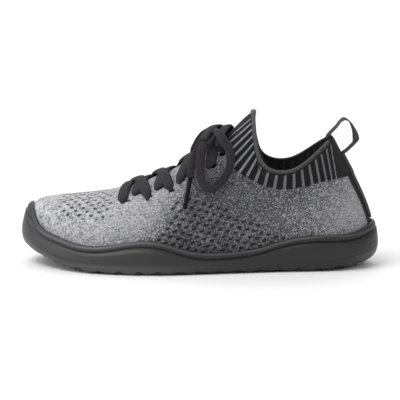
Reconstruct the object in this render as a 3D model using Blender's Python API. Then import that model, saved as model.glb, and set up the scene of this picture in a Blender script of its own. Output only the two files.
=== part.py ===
# Barefoot shoe, left foot: knitted sock-like upper, rubber cup sole, lace and heel pull loop.
# Metres, +Z up, toe towards -X, outer (lateral) side towards -Y, floor at Z = 0.

import math

import bmesh
import bpy
import numpy as np
from mathutils import Matrix, Vector

# Driving sizes of the shoe
LENGTH = 0.272
BALL_WIDTH = 0.104
TOP_HEIGHT = 0.118
UPPER_WALL = 0.002
CUFF_STEP = 0.0008
GAP = 0.0003
CUP_GAP = 0.0006

# Driving sizes of the sole
SOLE_WALL = 0.0040
SOLE_LIP = 0.0016
FLOOR = 0.0050
EDGE_ROUND = 0.0050
END_ROUND = 0.7
BEAD = 0.0040
GROOVE = 0.0016
GROOVE_DEPTH = 0.0012
LUG_DEPTH = 0.0018
LUG_GAP = 0.0034
LUG_PITCH = 0.0150
RIB_GAP = 0.0030
RIB_SPACING = 0.0320
TOE_SPRING = 0.0120
HEEL_SPRING = 0.0045

# Driving sizes of the insole, the lace and the pull loop
INSOLE_THICK = 0.0030
INSOLE_SLACK = 0.0003
LACE_WIDTH = 0.0070
LACE_THICK = 0.0026
LACE_LIFT = 0.0006
OVER_SHARE = 0.7
OVER_RUN = 0.5
TAPE_WIDTH = 0.0170
TAPE_THICK = 0.0013
TAPE_SLACK = 0.0013
INSIDE_CURL = 1.5

# Mesh density: columns run from the sole up to the ridge or the collar, half of them on each side
HALF_COLUMNS = 36
PEAK_COLUMN = 24
ROWS_LOW = 8
ROWS_CUFF = 6
INNER_ROWS = 4
FINE = 48

COLUMNS = 2 * HALF_COLUMNS
PEAK = PEAK_COLUMN / HALF_COLUMNS
LAST_LENGTH = LENGTH - 2 * (SOLE_WALL + GAP)
LAST_WIDTH = BALL_WIDTH - 2 * (SOLE_WALL + GAP)
TOE_X = -LAST_LENGTH / 2
TOE_RISE = 0.20
HEEL_RISE = 0.16

# Outline of the last: along is a share of its length from the toe, the sides are shares of its ball width
OUTLINE_COLUMNS = ("along", "lateral", "medial")
OUTLINE = (
    (0.000, 0.136, 0.136),
    (0.020, -0.042, 0.314),
    (0.060, -0.178, 0.419),
    (0.130, -0.330, 0.482),
    (0.220, -0.440, 0.500),
    (0.320, -0.493, 0.495),
    (0.380, -0.500, 0.461),
    (0.480, -0.466, 0.383),
    (0.580, -0.419, 0.309),
    (0.680, -0.372, 0.288),
    (0.780, -0.335, 0.294),
    (0.860, -0.320, 0.299),
    (0.930, -0.262, 0.262),
    (0.980, -0.152, 0.152),
    (1.000, 0.000, 0.000),
)

# Sections of the upper. foot: share of the half outline from toe to heel. along, ahead: shares of the last's
# length. half, swell: shares of its width. height, drop, rise: shares of the top height. top: share of the way
# back to the outline. Each section runs from its foot, up by rise and out by swell, to its top point.
SECTION_COLUMNS = ("foot", "along", "half", "height", "top", "ahead", "drop", "rise", "swell")
RIDGE = (
    (0.000, 0.0780, 0.0, 0.422, 0.80, 0.000, 0.000, 0.190, 0.000),
    (0.100, 0.1000, 0.0, 0.429, 0.72, 0.000, 0.000, 0.180, 0.000),
    (0.200, 0.1510, 0.0, 0.446, 0.64, 0.000, 0.000, 0.170, 0.000),
    (0.300, 0.2420, 0.0, 0.473, 0.57, 0.000, 0.000, 0.182, 0.000),
    (0.400, 0.3480, 0.0, 0.540, 0.54, 0.000, 0.000, 0.210, 0.000),
    (0.500, 0.4540, 0.0, 0.650, 0.54, 0.000, 0.000, 0.300, -0.005),
    (0.580, 0.5300, 0.0, 0.769, 0.57, 0.000, 0.000, 0.410, -0.022),
    (0.610, 0.5750, 0.0, 0.828, 0.59, 0.000, 0.000, 0.460, -0.032),
    (0.640, 0.6200, 0.0, 0.930, 0.61, 0.003, 0.009, 0.510, -0.040),
    (PEAK, 0.6540, 0.0, 1.000, 0.60, 0.019, 0.051, 0.520, -0.040),
)
RIM = (
    (PEAK, 0.6540, 0.000, 1.000, 0.60, 0.019, 0.051, 0.520, -0.040),
    (0.694, 0.6555, 0.142, 0.955, 0.34, 0.034, 0.045, 0.500, -0.032),
    (0.722, 0.6576, 0.212, 0.872, 0.30, 0.048, 0.055, 0.440, -0.022),
    (0.750, 0.6630, 0.258, 0.768, 0.30, 0.053, 0.080, 0.380, -0.010),
    (0.778, 0.6750, 0.287, 0.692, 0.26, 0.044, 0.100, 0.320, 0.008),
    (0.806, 0.6980, 0.303, 0.650, 0.25, 0.024, 0.136, 0.270, 0.022),
    (0.840, 0.7354, 0.307, 0.635, 0.25, 0.008, 0.155, 0.240, 0.030),
    (0.880, 0.7753, 0.294, 0.653, 0.28, 0.000, 0.185, 0.230, 0.035),
    (0.920, 0.8170, 0.248, 0.716, 0.36, 0.000, 0.210, 0.240, 0.036),
    (0.960, 0.8607, 0.146, 0.797, 0.43, 0.000, 0.230, 0.250, 0.041),
    (1.000, 0.8840, 0.000, 0.835, 0.45, 0.000, 0.237, 0.254, 0.045),
)
EVEN = ("along", "height", "top", "ahead", "drop", "rise", "swell")

# Plan line of the ridge: how far it lies to the medial side, as a share of the last's width
RIDGE_PLAN_COLUMNS = ("along", "aside")
RIDGE_PLAN = ((0.0, 0.136), (0.15, 0.100), (0.35, 0.052), (0.55, 0.020), (0.70, 0.0), (1.0, 0.0))

# Top edge of the rubber: height as a share of the top height, by the share of the length from the toe
RUBBER_COLUMNS = ("along", "height")
RUBBER = (
    (0.000, 0.386), (0.012, 0.352), (0.035, 0.277), (0.075, 0.226), (0.125, 0.193), (0.160, 0.174),
    (0.200, 0.170), (0.240, 0.178), (0.300, 0.203), (0.355, 0.213), (0.400, 0.200), (0.450, 0.165),
    (0.490, 0.143), (0.550, 0.134), (0.610, 0.141), (0.665, 0.156), (0.725, 0.193), (0.790, 0.223),
    (0.850, 0.234), (0.910, 0.231), (0.945, 0.237), (0.975, 0.256), (1.000, 0.292),
)

# Lower edge of the ribbed cuff: height as a share of the top height, by the share of the last's length
CUFF_COLUMNS = ("along", "height")
CUFF = (
    (0.600, 0.640), (0.633, 0.602), (0.653, 0.576), (0.675, 0.551), (0.698, 0.534), (0.724, 0.524),
    (0.753, 0.524), (0.781, 0.533), (0.811, 0.542), (0.835, 0.558), (0.865, 0.567), (0.906, 0.580), (0.940, 0.580),
)
CUFF_FRONT = PEAK - 1.0 / HALF_COLUMNS


# Lace holes. foot: share of the half outline. up: share of the way up. The lace goes in low and comes out high.
HOLE_COLUMNS = ("foot_in", "up_in", "foot_out", "up_out")
HOLES = (
    (0.347, 0.68, 0.375, 0.75),
    (0.403, 0.68, 0.431, 0.75),
    (0.458, 0.68, 0.486, 0.75),
    (0.542, 0.75, 0.569, 0.75),
    (0.597, 0.82, 0.597, 0.82),
)
HOLE_FRAME = 0.0013

# Pull loop above the heel. back: distance behind the collar's back, height: distance above it, as shares of the
# loop's length. curl: how much of the heel's roundness the tape keeps there.
LOOP_LENGTH = 0.020
LOOP_COLUMNS = ("back", "height", "curl")
LOOP = (
    (0.68, -0.55, 0.7), (0.80, -0.32, 0.4), (0.88, -0.08, 0.1), (0.88, 0.20, 0.0), (0.79, 0.40, 0.0),
    (0.62, 0.56, 0.0), (0.40, 0.64, 0.0), (0.20, 0.57, 0.0), (0.02, 0.40, 0.0), (-0.12, 0.20, 0.4),
    (-0.18, 0.02, 1.2),
)
TAPE_LOW = 0.275
TAPE_FREE = 0.84
TAPE_STEP = 0.55
TAPE_STEP_RUN = 0.03
TAPE_INSIDE = 0.085

# Routes of the bow's cords, in metres, chosen by hand over the upper
KNOT_ROUTE = (
    (0.0158, -0.0172, 0.0926), (0.0156, -0.0125, 0.0968), (0.0152, -0.0062, 0.1002), (0.0150, 0.0015, 0.1018),
    (0.0153, 0.0090, 0.1002), (0.0158, 0.0135, 0.0965), (0.0166, 0.0172, 0.0920),
)
NEAR_LOOP_ROUTE = (
    (0.0094, -0.0044, 0.0998), (0.0052, -0.0102, 0.0962), (0.0016, -0.0172, 0.0884), (0.0005, -0.0236, 0.0788),
    (0.0013, -0.0290, 0.0698), (0.0051, -0.0330, 0.0644), (0.0107, -0.0340, 0.0638), (0.0163, -0.0325, 0.0682),
    (0.0212, -0.0300, 0.0746), (0.0234, -0.0272, 0.0824), (0.0225, -0.0230, 0.0910), (0.0185, -0.0200, 0.0970),
    (0.0145, -0.0145, 0.1015), (0.0115, -0.0060, 0.1035),
)
FAR_LOOP_ROUTE = (
    (0.0064, 0.0076, 0.0998), (0.0016, 0.0146, 0.0932), (0.0016, 0.0206, 0.0838), (0.0036, 0.0229, 0.0745),
    (0.0072, 0.0256, 0.0690), (0.0126, 0.0268, 0.0660), (0.0182, 0.0265, 0.0677), (0.0222, 0.0252, 0.0729),
    (0.0238, 0.0242, 0.0798), (0.0235, 0.0232, 0.0870), (0.0218, 0.0230, 0.0950), (0.0178, 0.0190, 0.1015),
    (0.0110, 0.0105, 0.1060),
)
NEAR_END_ROUTE = (
    (0.0116, 0.0004, 0.1028), (0.0072, -0.0002, 0.1014), (0.0028, -0.0030, 0.0968), (-0.0002, -0.0080, 0.0908),
    (-0.0036, -0.0135, 0.0848), (-0.0058, -0.0200, 0.0783), (-0.0067, -0.0260, 0.0702),
)
FAR_END_ROUTE = (
    (0.0127, 0.0060, 0.1028), (0.0070, 0.0062, 0.1046), (0.0016, 0.0060, 0.1034), (-0.0030, 0.0075, 0.0985),
    (-0.0052, 0.0105, 0.0925), (-0.0048, 0.0150, 0.0856), (-0.0044, 0.0200, 0.0788), (-0.0046, 0.0240, 0.0720),
)
NEAR_AGLET_TIP = (-0.0107, -0.0370, 0.0484)
FAR_AGLET_TIP = (-0.0048, 0.0345, 0.0500)
LACE_TUBE = 0.0040
AGLET_TUBE = 0.0028


def column(rows, names, name):
    """One named column of a table, as an array."""
    return np.array([row[names.index(name)] for row in rows])


class Smooth:
    """A curve with continuous curvature through values at rising knots."""

    def __init__(self, knots, values, flat_ends=False, closed=False):
        self.knots = np.asarray(knots, float)
        self.values = np.asarray(values, float)
        if self.values.ndim == 1:
            self.values = self.values[:, None]
        step = np.diff(self.knots)[:, None]
        rate = np.diff(self.values, axis=0) / step
        count = len(self.knots)
        matrix = np.zeros((count, count))
        right = np.zeros_like(self.values)
        for i in range(1, count - 1):
            before = 1 / step[i - 1, 0]
            after = 1 / step[i, 0]
            matrix[i, i - 1] = before
            matrix[i, i] = 2 * (before + after)
            matrix[i, i + 1] = after
            right[i] = 3 * (rate[i - 1] * before + rate[i] * after)
        if closed:
            before = 1 / step[-1, 0]
            after = 1 / step[0, 0]
            matrix[0, -2] = before
            matrix[0, 0] = 2 * (before + after)
            matrix[0, 1] = after
            right[0] = 3 * (rate[-1] * before + rate[0] * after)
            matrix[-1, 0] = -1
            matrix[-1, -1] = 1
        elif flat_ends:
            matrix[0, 0] = 1
            matrix[-1, -1] = 1
        else:
            matrix[0, :2] = (2, 1)
            matrix[-1, -2:] = (1, 2)
            right[0] = 3 * rate[0]
            right[-1] = 3 * rate[-1]
        self.slopes = np.linalg.solve(matrix, right)

    def __call__(self, where):
        where = np.clip(np.atleast_1d(np.asarray(where, float)), self.knots[0], self.knots[-1])
        cell = np.clip(np.searchsorted(self.knots, where, side="right") - 1, 0, len(self.knots) - 2)
        step = (self.knots[cell + 1] - self.knots[cell])[:, None]
        s = ((where - self.knots[cell])[:, None]) / step
        start = self.values[cell]
        end = self.values[cell + 1]
        pull = self.slopes[cell] * step
        push = self.slopes[cell + 1] * step
        found = (
            (1 + 2 * s) * (1 - s) ** 2 * start
            + s**2 * (3 - 2 * s) * end
            + s * (1 - s) ** 2 * pull
            + s**2 * (s - 1) * push
        )
        return found[:, 0] if found.shape[1] == 1 else found


def table_curve(rows, names, name, by, flat_ends=False):
    return Smooth(column(rows, names, by), column(rows, names, name), flat_ends)


def outline_sides():
    """The lateral and medial half outlines of the last, each a curve of plan points by share of its length."""
    along = column(OUTLINE, OUTLINE_COLUMNS, "along")
    lateral = column(OUTLINE, OUTLINE_COLUMNS, "lateral")
    medial = column(OUTLINE, OUTLINE_COLUMNS, "medial")
    x = TOE_X + LAST_LENGTH * np.concatenate([along, along[-2::-1]])
    y = LAST_WIDTH * np.concatenate([lateral, medial[-2::-1]])
    plan = np.stack([x, y], axis=1)
    chord = np.concatenate([[0], np.cumsum(np.linalg.norm(np.diff(plan, axis=0), axis=1))])
    loop = Smooth(chord, plan, closed=True)
    heel = chord[len(along) - 1]
    sides = []
    for start, end in ((0.0, heel), (chord[-1], heel)):
        dense = loop(np.linspace(start, end, 40 * FINE))
        run = np.concatenate([[0], np.cumsum(np.linalg.norm(np.diff(dense, axis=0), axis=1))])
        sides.append((run / run[-1], dense))
    return sides


SIDES = outline_sides()
HALF_OUTLINE = float(np.sum(np.linalg.norm(np.diff(SIDES[0][1], axis=0), axis=1)))
RIDGE_CURVES = {
    name: table_curve(RIDGE, SECTION_COLUMNS, name, "foot") for name in SECTION_COLUMNS[1:]
}
RIM_CURVES = {
    name: table_curve(RIM, SECTION_COLUMNS, name, "foot", flat_ends=name in EVEN) for name in SECTION_COLUMNS[1:]
}
RIDGE_ASIDE = table_curve(RIDGE_PLAN, RIDGE_PLAN_COLUMNS, "aside", "along")
RUBBER_TOP = table_curve(RUBBER, RUBBER_COLUMNS, "height", "along")
CUFF_EDGE = table_curve(CUFF, CUFF_COLUMNS, "height", "along")


def turn_of(t):
    """Splits a place round the shoe (0 toe, 1 heel, 2 toe again) into its side and its share of that side."""
    t = t % 2.0
    return (0, t) if t <= 1.0 else (1, 2.0 - t)


def foot_plan(t):
    """Plan point of the last's outline, and its outward direction."""
    side, share = turn_of(t)
    run, dense = SIDES[side]
    point = np.array([np.interp(share, run, dense[:, k]) for k in range(2)])
    nudge = 0.004
    ends = []
    for place in (t - nudge, t + nudge):
        near_side, near_share = turn_of(place)
        near_run, near_dense = SIDES[near_side]
        ends.append(np.array([np.interp(near_share, near_run, near_dense[:, k]) for k in range(2)]))
    ahead = ends[1] - ends[0]
    outward = np.array([ahead[1], -ahead[0]]) / np.linalg.norm(ahead)
    return point, outward


def spring_shares(x):
    """How far a place lies into the toe's rise and into the heel's rise, from 0 to 1."""
    toe_flat = TOE_X + TOE_RISE * LAST_LENGTH
    heel_flat = -TOE_X - HEEL_RISE * LAST_LENGTH
    toe = max(0.0, (toe_flat - x) / (toe_flat - TOE_X))
    heel = max(0.0, (x - heel_flat) / (-TOE_X - heel_flat))
    return toe, heel


def tread_height(x):
    """Height of the underside: flat from ball to heel, springing up to the toe and a little to the heel."""
    toe, heel = spring_shares(x)
    return TOE_SPRING * toe**1.6 + HEEL_SPRING * heel**1.8


def section_values(t):
    side, share = turn_of(t)
    curves = RIDGE_CURVES if share <= PEAK else RIM_CURVES
    return side, {name: float(curve(share)[0]) for name, curve in curves.items()}


def column_points(t):
    """Dense points of one section of the outer surface, from the feather edge to the ridge or the collar."""
    side, value = section_values(t)
    plan, outward = foot_plan(t)
    aside = float(RIDGE_ASIDE(value["along"])[0]) * LAST_WIDTH
    sign = -1.0 if side == 0 else 1.0
    foot = np.array([plan[0], plan[1], tread_height(plan[0]) + FLOOR + GAP])
    top = np.array([
        TOE_X + value["along"] * LAST_LENGTH,
        aside + sign * value["half"] * LAST_WIDTH,
        value["height"] * TOP_HEIGHT,
    ])
    out = np.array([outward[0], outward[1], 0.0])
    first = foot + np.array([0, 0, value["rise"] * TOP_HEIGHT]) + out * value["swell"] * LAST_WIDTH
    back = (foot - top) * value["top"]
    second = top + np.array([back[0] - value["ahead"] * LAST_LENGTH, back[1], -value["drop"] * TOP_HEIGHT])
    s = np.linspace(0, 1, FINE + 1)[:, None]
    return (1 - s) ** 3 * foot + 3 * s * (1 - s) ** 2 * first + 3 * s**2 * (1 - s) * second + s**3 * top


SECTION_CACHE = {}


def section(t):
    """A section's dense points with their share of its run, kept for reuse."""
    key = round(t % 2.0, 9)
    if key not in SECTION_CACHE:
        points = column_points(key)
        run = np.concatenate([[0], np.cumsum(np.linalg.norm(np.diff(points, axis=0), axis=1))])
        SECTION_CACHE[key] = (run / run[-1], points, run[-1])
    return SECTION_CACHE[key]


def surface(t, v):
    """Point of the outer surface at a place round the shoe and a share of the way up."""
    share, points, _ = section(t)
    return np.array([np.interp(v, share, points[:, k]) for k in range(3)])


def surface_normal(t, v):
    """Outward normal, read a little below the top because the sections of both sides meet there."""
    nudge_t = 0.004
    nudge_v = 0.02
    v = min(v, 1.0 - nudge_v)
    around = surface(t + nudge_t, v) - surface(t - nudge_t, v)
    up = surface(t, min(1.0, v + nudge_v)) - surface(t, max(0.0, v - nudge_v))
    normal = np.cross(around, up)
    return normal / np.linalg.norm(normal)


def share_at_height(t, height):
    """Share of the way up at which a section first reaches a height."""
    share, points, _ = section(t)
    reached = np.maximum.accumulate(points[:, 2])
    return float(np.interp(height, reached, share))


def cuff_share(t):
    """Share of the way up where a section crosses the cuff's lower edge."""
    side, where = turn_of(t)
    if where < CUFF_FRONT:
        t = CUFF_FRONT if side == 0 else 2.0 - CUFF_FRONT
    share, points, _ = section(t)
    edge = np.array([float(CUFF_EDGE((x - TOE_X) / LAST_LENGTH)[0]) for x in points[:, 0]]) * TOP_HEIGHT
    above = np.nonzero(points[:, 2] > edge)[0]
    return float(share[above[0]])


def material(name, colour, roughness):
    """A Principled material with a plain colour."""
    made = bpy.data.materials.new(name)
    made.use_nodes = True
    shader = made.node_tree.nodes["Principled BSDF"]
    shader.inputs["Base Color"].default_value = (*colour, 1.0)
    shader.inputs["Roughness"].default_value = roughness
    shader.inputs["Metallic"].default_value = 0.0
    return made


def add_object(name, bm, surface_material):
    """Turns a bmesh into a smooth shaded object of its own."""
    mesh = bpy.data.meshes.new(name)
    bm.to_mesh(mesh)
    bm.free()
    mesh.shade_smooth()
    mesh.set_sharp_from_angle(angle=math.radians(50))
    mesh.materials.append(surface_material)
    made = bpy.data.objects.new(name, mesh)
    bpy.context.scene.collection.objects.link(made)
    return made


def welded_grid(points):
    """A grid primitive laid over rows of points whose columns run round a closed ring, welded where they meet."""
    rows, columns = points.shape[:2]
    bm = bmesh.new()
    row_of = bm.verts.layers.int.new("row")
    column_of = bm.verts.layers.int.new("column")
    bmesh.ops.create_grid(bm, x_segments=columns, y_segments=rows - 1, size=1)
    for vert in bm.verts:
        i = round((vert.co.x + 1) / 2 * columns) % columns
        j = round((vert.co.y + 1) / 2 * (rows - 1))
        vert[row_of] = j
        vert[column_of] = i
        vert.co = Vector(points[j, i])
    bmesh.ops.remove_doubles(bm, verts=bm.verts, dist=1e-6)
    return bm


def face_up(bm):
    """Turns an open shell so that its faces look away from the foot."""
    bmesh.ops.recalc_face_normals(bm, faces=bm.faces)
    highest = max(bm.faces, key=lambda face: abs(face.normal.z) * (face.calc_center_median().x < 0))
    if highest.normal.z < 0:
        bmesh.ops.reverse_faces(bm, faces=bm.faces)


def face_outwards(bm):
    bmesh.ops.recalc_face_normals(bm, faces=bm.faces)
    if bm.calc_volume(signed=True) < 0:
        bmesh.ops.reverse_faces(bm, faces=bm.faces)


def ring_places():
    """Where the columns stand round the shoe: 0 at the toe, 1 at the heel."""
    return [2.0 * i / COLUMNS for i in range(COLUMNS)]


def cuff_amount(t):
    """How far the cuff's step has risen: nothing in front of it, full behind its front edge."""
    _, share = turn_of(t)
    return min(1.0, max(0.0, (share - CUFF_FRONT) * HALF_COLUMNS + 1.0))


def upper_rows(t):
    """Shares of the way up at which the rows of the upper lie, two of them close together at the cuff's step."""
    edge = cuff_share(t)
    step = CUFF_STEP / section(t)[2]
    low = np.linspace(0.0, edge - step, ROWS_LOW + 1)
    high = np.linspace(edge, 1.0, ROWS_CUFF + 1)
    return np.concatenate([low, high])


def raise_cuff(bm):
    """Steps the cuff out from the knit below it."""
    row_of = bm.verts.layers.int["row"]
    column_of = bm.verts.layers.int["column"]
    bm.normal_update()
    moves = [
        (vert, vert.normal * CUFF_STEP * cuff_amount(2.0 * vert[column_of] / COLUMNS))
        for vert in bm.verts if vert[row_of] > ROWS_LOW
    ]
    for vert, move in moves:
        vert.co += move


def lace_holes():
    """The cells of the upper's mesh that hold lace holes, as column and row, on the lateral side."""
    cells = []
    for row in HOLES:
        for k in (0, 2):
            foot = row[k]
            i = int(foot * HALF_COLUMNS)
            shares = upper_rows((i + 0.5) / HALF_COLUMNS)
            j = int(np.searchsorted(shares, row[k + 1])) - 1
            cells.append((i, j))
    return cells


def hole_place(i, j):
    """The middle of a lace hole, as a place round the shoe and a share of the way up."""
    t = (i + 0.5) / HALF_COLUMNS
    shares = upper_rows(t)
    return t, (shares[j] + shares[j + 1]) / 2


def cut_lace_holes(bm):
    """Frames each lace hole with a ring of knit and opens it, on both sides."""
    row_of = bm.verts.layers.int["row"]
    column_of = bm.verts.layers.int["column"]
    cells = set(lace_holes())
    cells |= {(COLUMNS - 1 - i, j) for i, j in cells}
    found = []
    for face in bm.faces:
        rows = [vert[row_of] for vert in face.verts]
        columns = [vert[column_of] for vert in face.verts]
        if (min(columns), min(rows)) in cells and max(columns) - min(columns) == 1:
            found.append(face)
    bmesh.ops.inset_individual(bm, faces=found, thickness=HOLE_FRAME, use_even_offset=True)
    bmesh.ops.delete(bm, geom=found, context="FACES_ONLY")


def build_upper(knit):
    """The knitted shell: outer skin from its sections, with the wall laid inwards."""
    points = np.array([[surface(t, v) for v in upper_rows(t)] for t in ring_places()]).transpose(1, 0, 2)
    for i in range(1, PEAK_COLUMN + 1):
        weld = (points[-1, i] + points[-1, COLUMNS - i]) / 2
        points[-1, i] = weld
        points[-1, COLUMNS - i] = weld
    bm = welded_grid(points)
    face_up(bm)
    raise_cuff(bm)
    cut_lace_holes(bm)
    upper = add_object("upper", bm, knit)
    wall = upper.modifiers.new("wall", "SOLIDIFY")
    wall.thickness = UPPER_WALL
    wall.offset = -1.0
    return upper


def across(points, i):
    """The point midway between a column and its partner on the other side."""
    i = i % COLUMNS
    side = min(i, COLUMNS - i)
    side = min(max(side, 1), HALF_COLUMNS - 1)
    return (points[side] + points[COLUMNS - side]) / 2


def sole_wall_rows(x, rim, tread):
    """Rows of the cup's side from the tread's edge round the rim to the floor: height and offset from the last."""
    body = rim - BEAD - GROOVE
    edge = EDGE_ROUND * (1.0 + END_ROUND * max(spring_shares(x)))
    return (
        (tread, GAP + SOLE_WALL - 1.3 * edge),
        (tread + 0.08 * edge, GAP + SOLE_WALL - 0.72 * edge),
        (tread + 0.38 * edge, GAP + SOLE_WALL - 0.26 * edge),
        (tread + edge, GAP + SOLE_WALL - 0.04 * edge),
        (tread + edge + 0.4 * (body - tread - edge), GAP + SOLE_WALL),
        (body, GAP + 0.82 * SOLE_WALL),
        (body + 0.3 * GROOVE, GAP + 0.82 * SOLE_WALL - GROOVE_DEPTH),
        (body + 0.7 * GROOVE, GAP + 0.82 * SOLE_WALL - GROOVE_DEPTH),
        (rim - BEAD, GAP + 0.74 * SOLE_WALL),
        (rim - 0.45 * BEAD, GAP + 0.72 * SOLE_WALL),
        (rim - 0.08 * BEAD, GAP + SOLE_LIP),
        (rim, GAP + 0.5 * SOLE_LIP),
        (rim - 0.05 * BEAD, CUP_GAP),
    ) + tuple(
        (tread + FLOOR + (rim - tread - FLOOR) * (1 - k / INNER_ROWS), CUP_GAP) for k in range(1, INNER_ROWS + 1)
    )


def sole_point(t, height, offset):
    """A point at a height on the last, moved outwards, straight below the last's foot where it is lower."""
    plan, outward = foot_plan(t)
    foot_height = section(t)[1][0, 2]
    if height <= foot_height:
        return np.array([plan[0] + outward[0] * offset, plan[1] + outward[1] * offset, height])
    v = share_at_height(t, height)
    normal = surface_normal(t, max(v, 0.02))
    return surface(t, v) + normal * offset


def build_outsole(rubber):
    """The cup sole as one closed ring of rows, joined across under the foot and on the floor."""
    places = ring_places()
    rows = []
    for t in places:
        plan, _ = foot_plan(t)
        tread = tread_height(plan[0])
        rim = float(RUBBER_TOP((plan[0] - TOE_X) / LAST_LENGTH)[0]) * TOP_HEIGHT
        rows.append([sole_point(t, height, offset) for height, offset in sole_wall_rows(plan[0], rim, tread)])
    wall = np.array(rows).transpose(1, 0, 2)
    under = np.array([across(wall[0], i) for i in range(COLUMNS)])
    floor = np.array([across(wall[-1], i) for i in range(COLUMNS)])
    under[:, 2] = [tread_height(x) for x in under[:, 0]]
    floor[:, 2] = [tread_height(x) + FLOOR for x in floor[:, 0]]
    bm = welded_grid(np.concatenate([[under], wall, [floor]]))
    face_outwards(bm)
    return add_object("outsole", bm, rubber)


def build_insole(foam):
    """The insole, just inside the foot of the upper's wall."""
    places = ring_places()
    inset = UPPER_WALL + INSOLE_SLACK
    rows = []
    for t in places:
        plan, outward = foot_plan(t)
        edge = plan - outward * inset
        base = tread_height(plan[0]) + FLOOR + GAP
        rows.append([
            (*edge, base),
            (*edge, base + 0.7 * INSOLE_THICK),
            (*(edge - outward * 0.3 * INSOLE_THICK), base + INSOLE_THICK),
        ])
    ring = np.array(rows).transpose(1, 0, 2)
    under = np.array([across(ring[0], i) for i in range(COLUMNS)])
    top = np.array([across(ring[-1], i) for i in range(COLUMNS)])
    under[:, 2] = [tread_height(x) + FLOOR + GAP for x in under[:, 0]]
    top[:, 2] = under[:, 2] + INSOLE_THICK
    bm = welded_grid(np.concatenate([[under], ring, [top]]))
    face_outwards(bm)
    return add_object("insole", bm, foam)


def groove_cutter(name, boxes):
    """Boxes that cut the tread, as one hidden object. Each has a middle, a size and a tilt along the foot."""
    bm = bmesh.new()
    for middle, size, tilt in boxes:
        made = bmesh.ops.create_cube(bm, size=1.0)["verts"]
        bmesh.ops.scale(bm, vec=Vector(size), verts=made)
        bmesh.ops.rotate(bm, cent=(0, 0, 0), matrix=Matrix.Rotation(tilt, 3, "Y"), verts=made)
        bmesh.ops.translate(bm, vec=Vector(middle), verts=made)
    mesh = bpy.data.meshes.new(name)
    bm.to_mesh(mesh)
    bm.free()
    cutter = bpy.data.objects.new(name, mesh)
    bpy.context.scene.collection.objects.link(cutter)
    cutter.hide_render = True
    cutter.display_type = "WIRE"
    return cutter


def cut_with(target, cutter, operation="DIFFERENCE"):
    modifier = target.modifiers.new(cutter.name, "BOOLEAN")
    modifier.operation = operation
    modifier.object = cutter


def cut_lugs(outsole):
    """Grooves across the tread leave bars, and two along its flat part part them into lugs."""
    boxes = []
    nudge = 0.001
    count = int((LENGTH - 2 * LUG_PITCH) / LUG_PITCH)
    for k in range(count + 1):
        x = (k - count / 2) * LUG_PITCH
        slope = (tread_height(x + nudge) - tread_height(x - nudge)) / (2 * nudge)
        boxes.append(((x, 0, tread_height(x)), (LUG_GAP, 1.4 * BALL_WIDTH, 2 * LUG_DEPTH), -math.atan(slope)))
    cut_with(outsole, groove_cutter("grooves_across", boxes))
    front = TOE_X + TOE_RISE * LAST_LENGTH
    back = -TOE_X - HEEL_RISE * LAST_LENGTH
    ribs = [
        (((front + back) / 2, side * RIB_SPACING / 2, 0), (back - front, RIB_GAP, 1.6 * LUG_DEPTH), 0.0)
        for side in (-1, 1)
    ]
    cut_with(outsole, groove_cutter("grooves_along", ribs))


def ring_section(width, thick):
    """Six points round a flat oval: how far each lies across and out."""
    turns = [2 * math.pi * k / 6 for k in range(6)]
    return [(math.cos(a) * width / 2, math.sin(a) / math.sin(math.pi / 3) * thick / 2) for a in turns]


def swept_band(name, centres, outwards, section_points, surface_material):
    """Sweeps a closed section along a path, flat to the given outward directions, with its ends filled."""
    rows = []
    for k, centre in enumerate(centres):
        before = centres[max(0, k - 1)]
        after = centres[min(len(centres) - 1, k + 1)]
        along = (after - before) / np.linalg.norm(after - before)
        out = outwards[k] - along * np.dot(outwards[k], along)
        out = out / np.linalg.norm(out)
        aside = np.cross(out, along)
        rows.append([centre + aside * a + out * b for a, b in section_points])
    bm = welded_grid(np.array(rows))
    bmesh.ops.holes_fill(bm, edges=bm.edges, sides=0)
    face_outwards(bm)
    return add_object(name, bm, surface_material)


def lace_strand(name, start, end, over, lace):
    """A flat lace over the instep from a lateral hole to a medial one."""
    samples = 13
    centres = []
    outwards = []
    for k in range(samples):
        s = k / (samples - 1)
        foot = (1 - s) * start[0] + s * end[0]
        bend = 1 - abs(2 * s - 1)
        low = start[1] if s < 0.5 else end[1]
        v = low + (1 - low) * bend
        t = foot if s < 0.5 else 2.0 - foot
        normal = surface_normal(t, v)
        lift = LACE_LIFT + LACE_THICK / 2 + over * LACE_THICK * min(1.0, bend / OVER_RUN)
        centres.append(surface(t, v) + normal * lift)
        outwards.append(normal)
    smooth = [outwards[0]]
    smooth += [outwards[k - 1] + 2 * outwards[k] + outwards[k + 1] for k in range(1, samples - 1)]
    smooth.append(outwards[-1])
    return swept_band(name, centres, smooth, ring_section(LACE_WIDTH, LACE_THICK), lace)


def build_lacing(lace):
    """The whole lacing as one joined solid: a bar, then strands that cross between each tunnel and the next."""
    places = [hole_place(i, j) for i, j in lace_holes()]
    lower = places[0::2]
    upper = places[1::2]
    lacing = lace_strand("lacing", lower[0], upper[0], 0.0, lace)
    for k in range(4):
        forward = lace_strand(f"forward_{k + 1}", upper[k], upper[k + 1], 0.0, lace)
        backward = lace_strand(f"backward_{k + 1}", lower[k + 1], lower[k], OVER_SHARE, lace)
        for strand in (forward, backward):
            strand.hide_render = True
            strand.display_type = "WIRE"
            cut_with(lacing, strand, "UNION")


def heel_row(v, offset):
    """Middle of the tape on the heel at a share of the way up, and how far its edges lie forward."""
    middle = surface(1.0, v) + surface_normal(1.0, v) * offset
    edge_place = 1.0 - TAPE_WIDTH / 2 / HALF_OUTLINE
    edge = surface(edge_place, v) + surface_normal(edge_place, v) * offset
    curl = (middle[0] - edge[0]) * (TAPE_WIDTH / 2 / edge[1]) ** 2
    return middle, curl


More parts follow.
